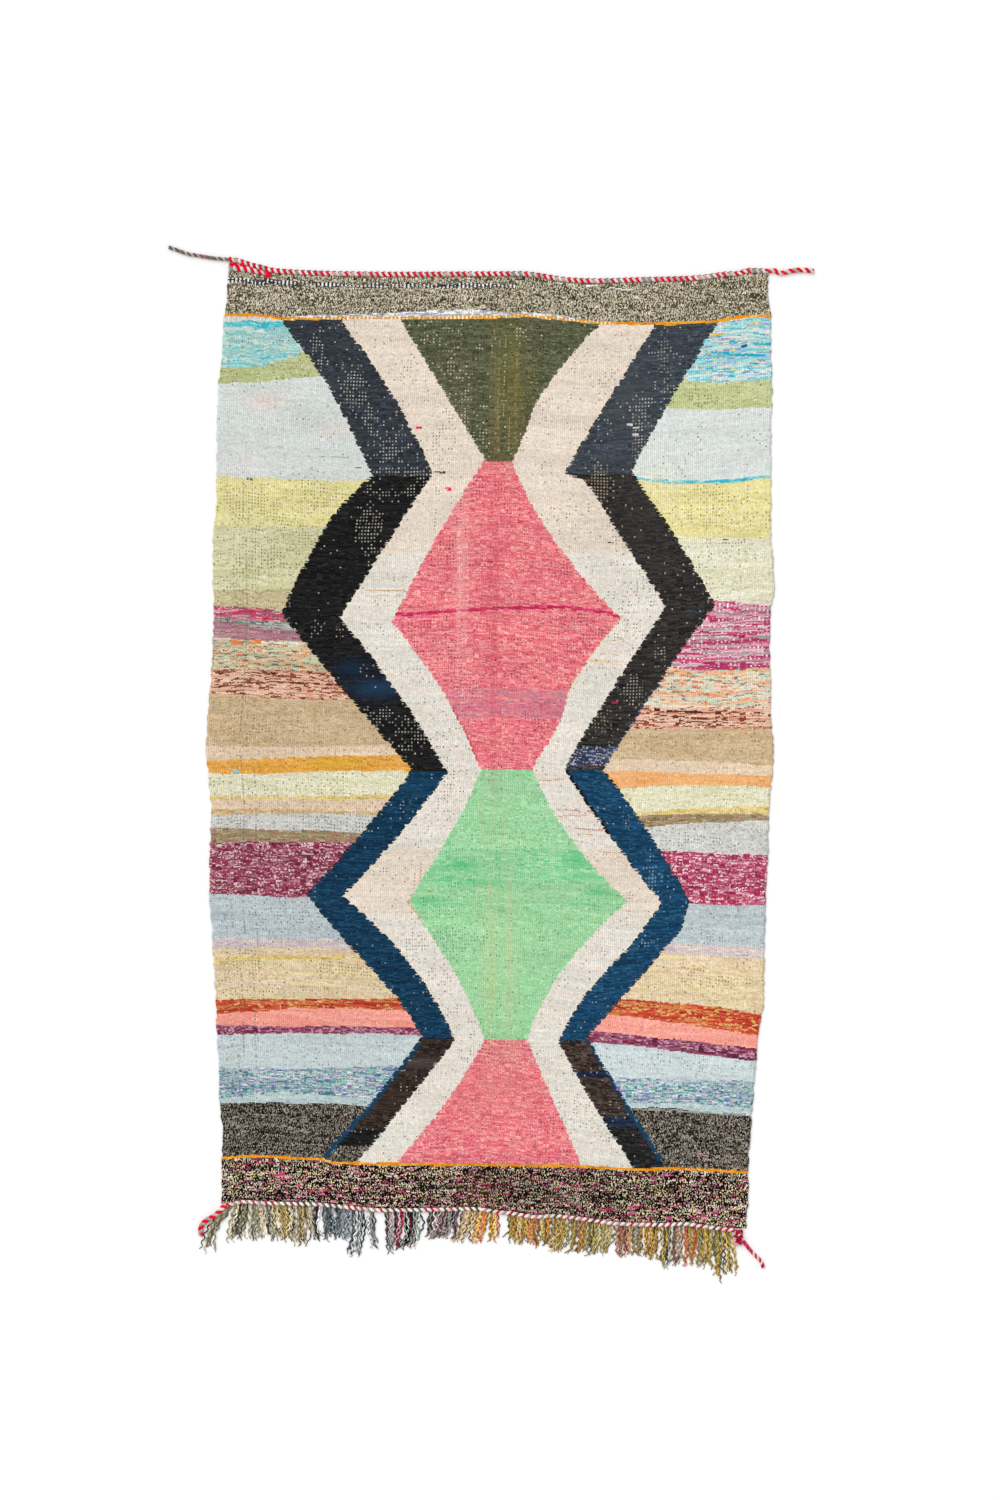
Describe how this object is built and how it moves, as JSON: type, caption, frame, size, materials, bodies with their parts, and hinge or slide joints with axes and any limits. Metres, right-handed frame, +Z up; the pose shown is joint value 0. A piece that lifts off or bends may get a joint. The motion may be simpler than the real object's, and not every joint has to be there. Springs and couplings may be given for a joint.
{
  "type": "flat-woven rag rug",
  "caption": "Flat-woven rag rug lying flat, with a chain of lozenges between zigzag bands, twined end cords, a knotted fringe along one end and loose cord ends at the corners.",
  "frame": {"origin": "on the floor, under the middle of the rug's box without the loose cord ends", "axes": "+X across the rug to its right, +Y along the rug from the fringed foot to the head, +Z up out of its face"},
  "size_m": [1.6138, 2.5919, 0.0126],
  "materials": {
    "woven_rag_yarn": "matt weft-faced weave of wool and cotton rag yarn in many colours",
    "red_and_white_cord": "matt twined cord of red, white and grey yarn",
    "cut_warp_yarn": "matt cut warp yarn, grey, olive and mustard",
    "red_knot_yarn": "matt red yarn",
    "grey_brown_cord": "matt twisted cord of grey and dull red yarn"
  },
  "bodies": {
    "root": {"woven_cloth": "woven_rag_yarn", "head_cord": "red_and_white_cord", "head_start_cord": "red_and_white_cord", "foot_cord": "red_and_white_cord", "fringe": "cut_warp_yarn", "foot_knot": "red_knot_yarn", "head_left_tail": "grey_brown_cord", "head_right_tail": "red_and_white_cord", "foot_left_tail": "red_and_white_cord", "foot_right_tail": "red_and_white_cord"}
  },
  "joints": []
}
